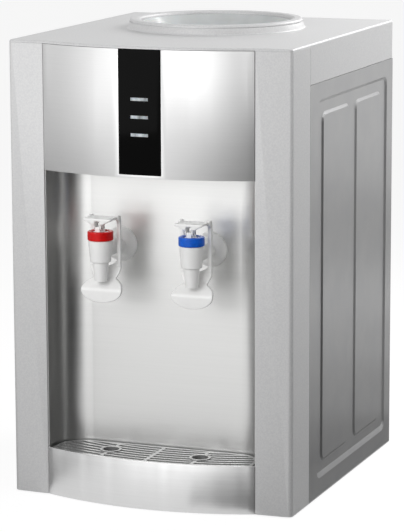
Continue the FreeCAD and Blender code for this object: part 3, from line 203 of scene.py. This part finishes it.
def tinted(tree, surface, pattern, dark, light, spread=USUAL_SPREAD):
    """Lets the colour wander between two close tones."""
    share = node(tree, "MapRange", {
        "Value": pattern, "From Min": NOISE_MIDDLE - spread, "From Max": NOISE_MIDDLE + spread})
    tone = blended(tree, share.outputs["Result"], linear(dark), linear(light))
    tree.links.new(tone, surface.inputs["Base Color"])


def worn(tree, surface, pattern, low, high, spread=USUAL_SPREAD):
    """Lets the roughness wander between two values."""
    made = node(tree, "MapRange", {
        "Value": pattern, "From Min": NOISE_MIDDLE - spread, "From Max": NOISE_MIDDLE + spread,
        "To Min": low, "To Max": high})
    tree.links.new(made.outputs["Result"], surface.inputs["Roughness"])


def raised(tree, surface, pattern, height_mm):
    """Raises the surface along a pattern."""
    made = node(tree, "Bump", {"Height": pattern, "Distance": height_mm / MM_PER_METRE})
    tree.links.new(made.outputs["Normal"], surface.inputs["Normal"])


def silver_abs():
    """ABS in silver lacquer: flake too fine to see singly, a soft sheen, faint mottling."""
    made, tree, surface = finish("silver_lacquered_abs", "CFCFCF", 0.45, Metallic=0.08)
    tinted(tree, surface, grain(tree, 1.6), "CACACB", "D2D2D2")
    raised(tree, surface, grain(tree, 2.2), 0.010)
    return made


def satin_panel():
    """Bowed panel in satin metallic lacquer: brushed level, so highlights stand upright."""
    made, tree, surface = finish(
        "satin_metallic_lacquer", "CCCCCC", 0.4,
        Metallic=0.6, Anisotropic=0.5, Anisotropic_Rotation=LEVEL_BRUSHING)
    level = grain(tree, 1.2, draw=(0.02, 0.02, 1), detail=3)
    tinted(tree, surface, level, "CBCBCB", "CDCDCD")
    worn(tree, surface, level, 0.39, 0.41)
    return made


def brushed_tray():
    """Apron of the drip tray: metallic lacquer over a level brushed grain."""
    made, tree, surface = finish(
        "brushed_metallic_lacquer", "D4D4D4", 0.4,
        Metallic=0.8, Anisotropic=0.5, Anisotropic_Rotation=LEVEL_BRUSHING)
    level = grain(tree, 1.0, draw=(0.015, 0.015, 1), detail=4)
    tinted(tree, surface, level, "D2D2D2", "D6D6D6", spread=0.2)
    worn(tree, surface, level, 0.38, 0.43)
    # The basin behind the apron gets a dark grey of painted shade
    shade_painted_basin(tree, surface)
    return made


def shade_painted_basin(tree, surface):
    """Paints the tray's basin, behind its apron, dark grey as painted shade where it lies under
    the grille.
    """
    place = node(tree, "SeparateXYZ", {0: place_on_piece(tree)}).outputs
    square = node(tree, "Math", {0: place["X"], 1: place["X"]}, operation="MULTIPLY")
    bow = node(tree, "Math", {
        0: square.outputs[0], 1: 1 / (2 * APRON_RADIUS), 2: APRON_MIDDLE},
        operation="MULTIPLY_ADD")
    behind = node(tree, "Math", {0: place["Y"], 1: bow.outputs[0]}, operation="GREATER_THAN")
    lacquer = surface.inputs["Base Color"].links[0].from_socket
    # 38383A is painted shade: the basin is darkened so the gaps of the grille read as shadowed
    tone = blended(tree, behind.outputs[0], lacquer, linear("38383A"))
    tree.links.new(tone, surface.inputs["Base Color"])


def stainless_sheet():
    """Bay lining of stainless sheet, brushed level; the grain is coarser than real, to show."""
    made, tree, surface = finish(
        "brushed_stainless", "C9C9C8", 0.34,
        Metallic=1.0, Anisotropic=0.3, Anisotropic_Rotation=LEVEL_BRUSHING)
    level = grain(tree, 1.4, draw=(0.01, 0.01, 1), detail=4)
    tinted(tree, surface, level, "C8C8C7", "CACAC9")
    worn(tree, surface, level, 0.33, 0.36)
    return made


def black_acrylic():
    """Gloss black acrylic strip: polished, with a trace of dust."""
    made, tree, surface = finish("gloss_black_acrylic", "020202", 0.05, Specular_IOR_Level=0.05)
    worn(tree, surface, grain(tree, 6.0), 0.04, 0.07)
    return made


def light_guide():
    """Frosted clear polycarbonate light bars, paler where the light comes through."""
    made, tree, surface = finish("frosted_light_guide", "B0B2B4", 0.35, Subsurface_Weight=0.2)
    tinted(tree, surface, grain(tree, 5.0, draw=(1, 1, 0.3)), "7C7E80", "E6E8EA", spread=0.2)
    return made


def stove_enamel():
    """Grey metallic stove enamel on steel: semi-gloss, so that pressed edges catch the light."""
    made, tree, surface = finish(
        "grey_stove_enamel", "A2A2A3", 0.28, Metallic=0.8, Specular_IOR_Level=0.6)
    tinted(tree, surface, grain(tree, 30.0), "A0A0A1", "A4A4A4")
    raised(tree, surface, grain(tree, 1.8), 0.004)
    return made


def painted_grille():
    """Silver paint on the grille's moulding, mottled lighter and darker."""
    made, tree, surface = finish("silver_painted_grille", "A2A2A2", 0.34, Metallic=0.5)
    tinted(tree, surface, grain(tree, 2.0), "9C9C9C", "A8A8A8")
    return made


def pale_seat():
    """Pale grey polypropylene of the bottle seat: waxy and smooth, light sinks in a little."""
    made, tree, surface = finish("pale_grey_polypropylene", "C8C8C8", 0.22, Subsurface_Weight=0.1)
    tinted(tree, surface, grain(tree, 18.0), "C4C4C4", "CDCDCD")
    return made


def white_abs():
    """White ABS of taps and levers: bright, its gloss a little worn."""
    made, tree, surface = finish("glossy_white_abs", "FBFBFA", 0.34)
    tinted(tree, surface, grain(tree, 9.0), "F9F9F8", "FCFCFB")
    worn(tree, surface, grain(tree, 3.0), 0.31, 0.38)
    return made


def coloured_abs(name, dark, light):
    """Coloured ABS of the ring nuts and the rockers."""
    made, tree, surface = finish(name, light, 0.38, Specular_IOR_Level=0.3)
    tinted(tree, surface, grain(tree, 4.0), dark, light)
    return made


def moulded(name, dark, light, roughness, size_mm=2.0, height_mm=0.02, **shader):
    """Plain moulding with a fine cast texture and faint, coarser mottling."""
    made, tree, surface = finish(name, light, roughness, **shader)
    tinted(tree, surface, grain(tree, size_mm * MOTTLE_TO_TEXTURE), dark, light)
    raised(tree, surface, grain(tree, size_mm), height_mm)
    return made


def drawn_metal(name, dark, light, roughness, draw, size_mm=1.5):
    """Bare metal with the lines of its rolling or turning."""
    made, tree, surface = finish(name, light, roughness, Metallic=1.0)
    lines = grain(tree, size_mm, draw=draw, detail=3)
    tinted(tree, surface, lines, dark, light)
    worn(tree, surface, lines, roughness - 0.05, roughness + 0.08)
    return made


def zinc_sheet():
    """Hot-dipped zinc on steel, with its spangles."""
    made, tree, surface = finish("galvanised_steel", "B4B6B8", 0.42, Metallic=0.9)
    spangle = node(tree, "TexVoronoi", {
        "Vector": place_on_piece(tree), "Scale": MM_PER_METRE / SPANGLE_MM})
    share = node(tree, "RGBToBW", {"Color": spangle.outputs["Color"]}).outputs["Val"]
    tinted(tree, surface, share, "A9ABAD", "C0C2C4", spread=0.4)
    return made


def bead_foam():
    """Expanded foam, with beads that stand out a little."""
    made, tree, surface = finish("white_bead_foam", "EDEBE2", 0.8)
    beads = node(tree, "TexVoronoi", {
        "Vector": place_on_piece(tree), "Scale": MM_PER_METRE / BEAD_MM})
    bead = beads.outputs["Distance"]
    tinted(tree, surface, bead, "F1EFE8", "D9D6CB", spread=0.5)
    raised(tree, surface, bead, 0.2)
    return made


def board_green():
    """Green solder mask over tracks, with paler and darker parts between them."""
    made, tree, surface = finish("green_solder_mask", "1E6B35", 0.35)
    tracks = node(tree, "TexBrick", {
        "Vector": place_on_piece(tree), "Scale": MM_PER_METRE / TRACK_MM, "Mortar Size": 0.03,
        "Color1": linear("1E6B35"), "Color2": linear("24733C"), "Mortar": linear("3F8F52")})
    tree.links.new(tracks.outputs["Color"], surface.inputs["Base Color"])
    return made


# Stage

def studio_world():
    """White all round to the eye and in reflections, a soft fill for the light itself."""
    world = bpy.data.worlds.new("studio_white")
    world.use_nodes = True
    bpy.context.scene.world = world
    tree = world.node_tree
    seen = seen_directly(tree)
    strength = node(tree, "MapRange", {"Value": seen, "To Min": FILL, "To Max": 1.0})
    tree.links.new(strength.outputs["Result"], tree.nodes["Background"].inputs["Strength"])
    tree.nodes["Background"].inputs["Color"].default_value = linear("FFFFFF")


def seen_directly(tree):
    """1 for rays from the eye, off gloss or through glass, 0 for those that carry light."""
    path = node(tree, "LightPath").outputs
    gloss = node(tree, "Math", {
        0: path["Is Glossy Ray"], 1: path["Is Transmission Ray"]}, operation="MAXIMUM")
    seen = node(tree, "Math", {
        0: path["Is Camera Ray"], 1: gloss.outputs[0]}, operation="MAXIMUM")
    return seen.outputs[0]


def floor_finish():
    """Pale floor that reads white and still takes the object's shadow."""
    made = bpy.data.materials.new("pale_floor")
    made.use_nodes = True
    tree = made.node_tree
    tree.nodes.remove(tree.nodes["Principled BSDF"])
    plain = node(tree, "BsdfDiffuse", {"Color": linear("A0A0A0")})
    shade = node(tree, "BsdfDiffuse", {"Color": linear("7C7C7C")})
    glow = node(tree, "Emission", {"Color": linear("FFFFFF"), "Strength": FLOOR_GLOW})
    white = node(tree, "AddShader", {0: shade.outputs[0], 1: glow.outputs[0]})
    mixed = node(tree, "MixShader", {
        0: seen_directly(tree), 1: plain.outputs[0], 2: white.outputs[0]})
    tree.links.new(mixed.outputs[0], tree.nodes["Material Output"].inputs["Surface"])
    return made


def floor():
    """The level floor that the feet stand on."""
    mesh = bpy.data.meshes.new("floor")
    r = FLOOR_REACH
    mesh.from_pydata([(-r, -r, 0), (r, -r, 0), (r, r, 0), (-r, r, 0)], [], [(0, 1, 2, 3)])
    mesh.materials.append(floor_finish())
    add_object("floor", mesh)


def direction(azimuth, elevation):
    """Unit vector at these degrees, azimuth 0 to the front and 90 to the right-hand side."""
    a = math.radians(azimuth)
    e = math.radians(elevation)
    return Vector((math.sin(a) * math.cos(e), -math.cos(a) * math.cos(e), math.sin(e)))


def softbox(name, azimuth, elevation, distance, width, height, power):
    """Lamp that faces the object and stays out of the picture."""
    lamp = bpy.data.lights.new(name, "AREA")
    lamp.shape = "RECTANGLE"
    lamp.size = width
    lamp.size_y = height
    lamp.energy = power
    made = add_object(name, lamp)
    towards = direction(azimuth, elevation)
    made.location = AIM + towards * distance
    made.rotation_euler = (-towards).to_track_quat("-Z", "Y").to_euler()
    made.visible_camera = False


def grey_card(name, tone, start, end, *section):
    """Curved card for the bright metal to mirror, like a photographer's flag."""
    mesh = bpy.data.meshes.new(name)
    points = []
    for i in range(CARD_STEPS + 1):
        towards = direction(start + i / CARD_STEPS * (end - start), 0)
        points += [(towards.x * reach, towards.y * reach, height) for reach, height in section]
    row = len(section)
    faces = [(a, a + 1, a + 1 + row, a + row)
             for i in range(CARD_STEPS) for a in range(i * row, i * row + row - 1)]
    mesh.from_pydata(points, [], faces)
    felt = bpy.data.materials.new("grey_felt")
    felt.use_nodes = True
    felt.node_tree.nodes["Principled BSDF"].inputs["Base Color"].default_value = linear(tone)
    mesh.materials.append(felt)
    made = add_object(name, mesh)
    made.visible_camera = False
    made.visible_diffuse = False
    made.visible_shadow = False


def camera():
    """The camera of the photograph."""
    lens = bpy.data.cameras.new("camera")
    lens.sensor_width = SENSOR
    lens.lens = FOCAL_PIXELS * SENSOR / FRAME_HEIGHT_PIXELS
    lens.clip_end = FAR_CLIP
    made = add_object("camera", lens)
    towards = direction(AZIMUTH, ELEVATION)
    made.location = AIM + towards * DISTANCE
    level = (-towards).to_track_quat("-Z", "Y")
    made.rotation_mode = "QUATERNION"
    made.rotation_quaternion = level @ Quaternion((0, 0, 1), math.radians(ROLL))
    bpy.context.scene.camera = made


# Pieces

def moulded_lever(tap, white):
    """The push lever with the soft edges of a moulding, in place of its solid."""
    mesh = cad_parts[tap + "_lever"].data.copy()
    made = add_object(tap + "_lever_moulding", mesh)
    skin = made.modifiers.new("skin", "REMESH")
    skin.mode = "VOXEL"
    skin.voxel_size = LEVER_VOXEL
    soft = made.modifiers.new("soft", "SMOOTH")
    soft.factor = LEVER_SMOOTHING
    soft.iterations = LEVER_PASSES
    modified = made.evaluated_get(bpy.context.evaluated_depsgraph_get())
    shaped = bpy.data.meshes.new_from_object(modified)
    made.modifiers.clear()
    made.data = shaped
    shaped.materials.clear()
    shaped.materials.append(white)
    for face in shaped.polygons:
        face.use_smooth = True
    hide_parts(tap + "_lever")
    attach(made, tap + "_lever")


def return_spring(tap, wire):
    """The tap's spring in a copy of its solid, fixed to the cabinet."""
    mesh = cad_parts[tap + "_tap_spring"].data.copy()
    made = add_object(tap + "_spring_coil", mesh)
    mesh.materials.clear()
    mesh.materials.append(wire)
    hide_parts(tap + "_tap_spring")
    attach(made, "cabinet")
    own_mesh(made)


def dress(finishes):
    """Gives every solid its finish."""
    for name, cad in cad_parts.items():
        cad.data.materials.clear()
        cad.data.materials.append(finishes[name])


def soften(name, width_mm, angle):
    """Rounds the edges of a solid a little, as moulding and pressing leave them."""
    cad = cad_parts[name]
    weld = cad.modifiers.new("welded", "WELD")
    weld.merge_threshold = WELD_REACH
    edge = cad.modifiers.new("soft_edges", "BEVEL")
    edge.width = width_mm / MM_PER_METRE
    edge.segments = EDGE_SEGMENTS
    edge.limit_method = "ANGLE"
    edge.angle_limit = math.radians(angle)
    edge.use_clamp_overlap = True
    edge.harden_normals = True


def finishes_by_node():
    """The material of every node, by the node's name."""
    silver = silver_abs()
    white = white_abs()
    coat = stove_enamel()
    zinc = zinc_sheet()
    steel = drawn_metal("turned_stainless", "A6A6A6", "BEBEBE", 0.3, (0.02, 0.02, 1))
    wire = drawn_metal("spring_wire", "9A9A9A", "B4B4B4", 0.25, (1, 1, 1))
    alloy = drawn_metal("extruded_aluminium", "B8B9BB", "CFD0D2", 0.35, (1, 0.02, 1))
    foam = bead_foam()
    tube = moulded("translucent_silicone", "D2D2CC", "E0E0DA", 0.4, Subsurface_Weight=0.3)
    nylon = moulded("black_nylon", "0E0E0E", "161616", 0.45)
    dark = moulded("grey_polypropylene", "4A4A4B", "545455", 0.5)
    rubber = moulded("black_rubber", "121212", "1C1C1C", 0.7)
    board = board_green()
    named = {
        "front_bezel": silver, "top_cover": silver, "upper_panel": satin_panel(),
        "indicator_strip": black_acrylic(), "indicator_lenses": light_guide(),
        "indicator_board": board, "power_board": board, "tap_panel": stainless_sheet(),
        "bottle_seat": pale_seat(), "tank_seal": tube, "right_side_panel": coat,
        "left_side_panel": coat, "rear_panel": coat, "base_plate": dark, "feet": rubber,
        "drip_tray": brushed_tray(), "drip_grille": painted_grille(), "tap_rosettes": white,
        "tap_nuts": white, "cold_tank": steel, "hot_tank": steel, "cold_tank_foam": foam,
        "hot_tank_foam": foam, "cold_block": alloy, "heat_sink": alloy,
        "thermo_module": moulded("white_ceramic", "E6E6E0", "F0F0EA", 0.3),
        "fan_frame": nylon, "fan_rotor": nylon, "heater_band": wire, "thermostats": nylon,
        "hot_tank_stand": zinc, "tank_shelf": zinc, "drain_outlet": dark, "cord_gland": nylon,
        "switch_frames": nylon, "screws": wire,
        "drain_cap": moulded("white_polypropylene", "DADAD8", "E4E4E2", 0.4),
        "hot_switch": coloured_abs("red_rocker", "B80A0A", "C81010"),
        "cold_switch": coloured_abs("green_rocker", "0E7A30", "128A38"),
        "hot_tap_ring": coloured_abs("red_abs", "C90404", "DB0606"),
        "cold_tap_ring": coloured_abs("blue_abs", "0858C4", "0C64DA"),
    }
    for hose in ("hot_tap_hose", "cold_tap_hose", "feed_hose", "drain_hose"):
        named[hose] = tube
    for tap in TAPS:
        for piece in ("tap_body", "tap_bonnet", "tap_stem", "lever"):
            named[tap + "_" + piece] = white
        named[tap + "_tap_seal"] = tube
        named[tap + "_tap_spring"] = wire
        named[tap + "_lever_pins"] = wire
    return named


camera()
studio_world()
floor()
for card_name, card in CARDS.items():
    grey_card(card_name, *card)
for lamp_name, placed in LAMPS.items():
    softbox(lamp_name, *placed)

finishes = finishes_by_node()
dress(finishes)
for tap_name in TAPS:
    moulded_lever(tap_name, finishes[tap_name + "_lever"])
    return_spring(tap_name, finishes[tap_name + "_tap_spring"])
for softened, (edge_width, edge_angle) in SOFT_EDGES.items():
    soften(softened, edge_width, edge_angle)

bpy.context.scene.view_settings.view_transform = "Standard"
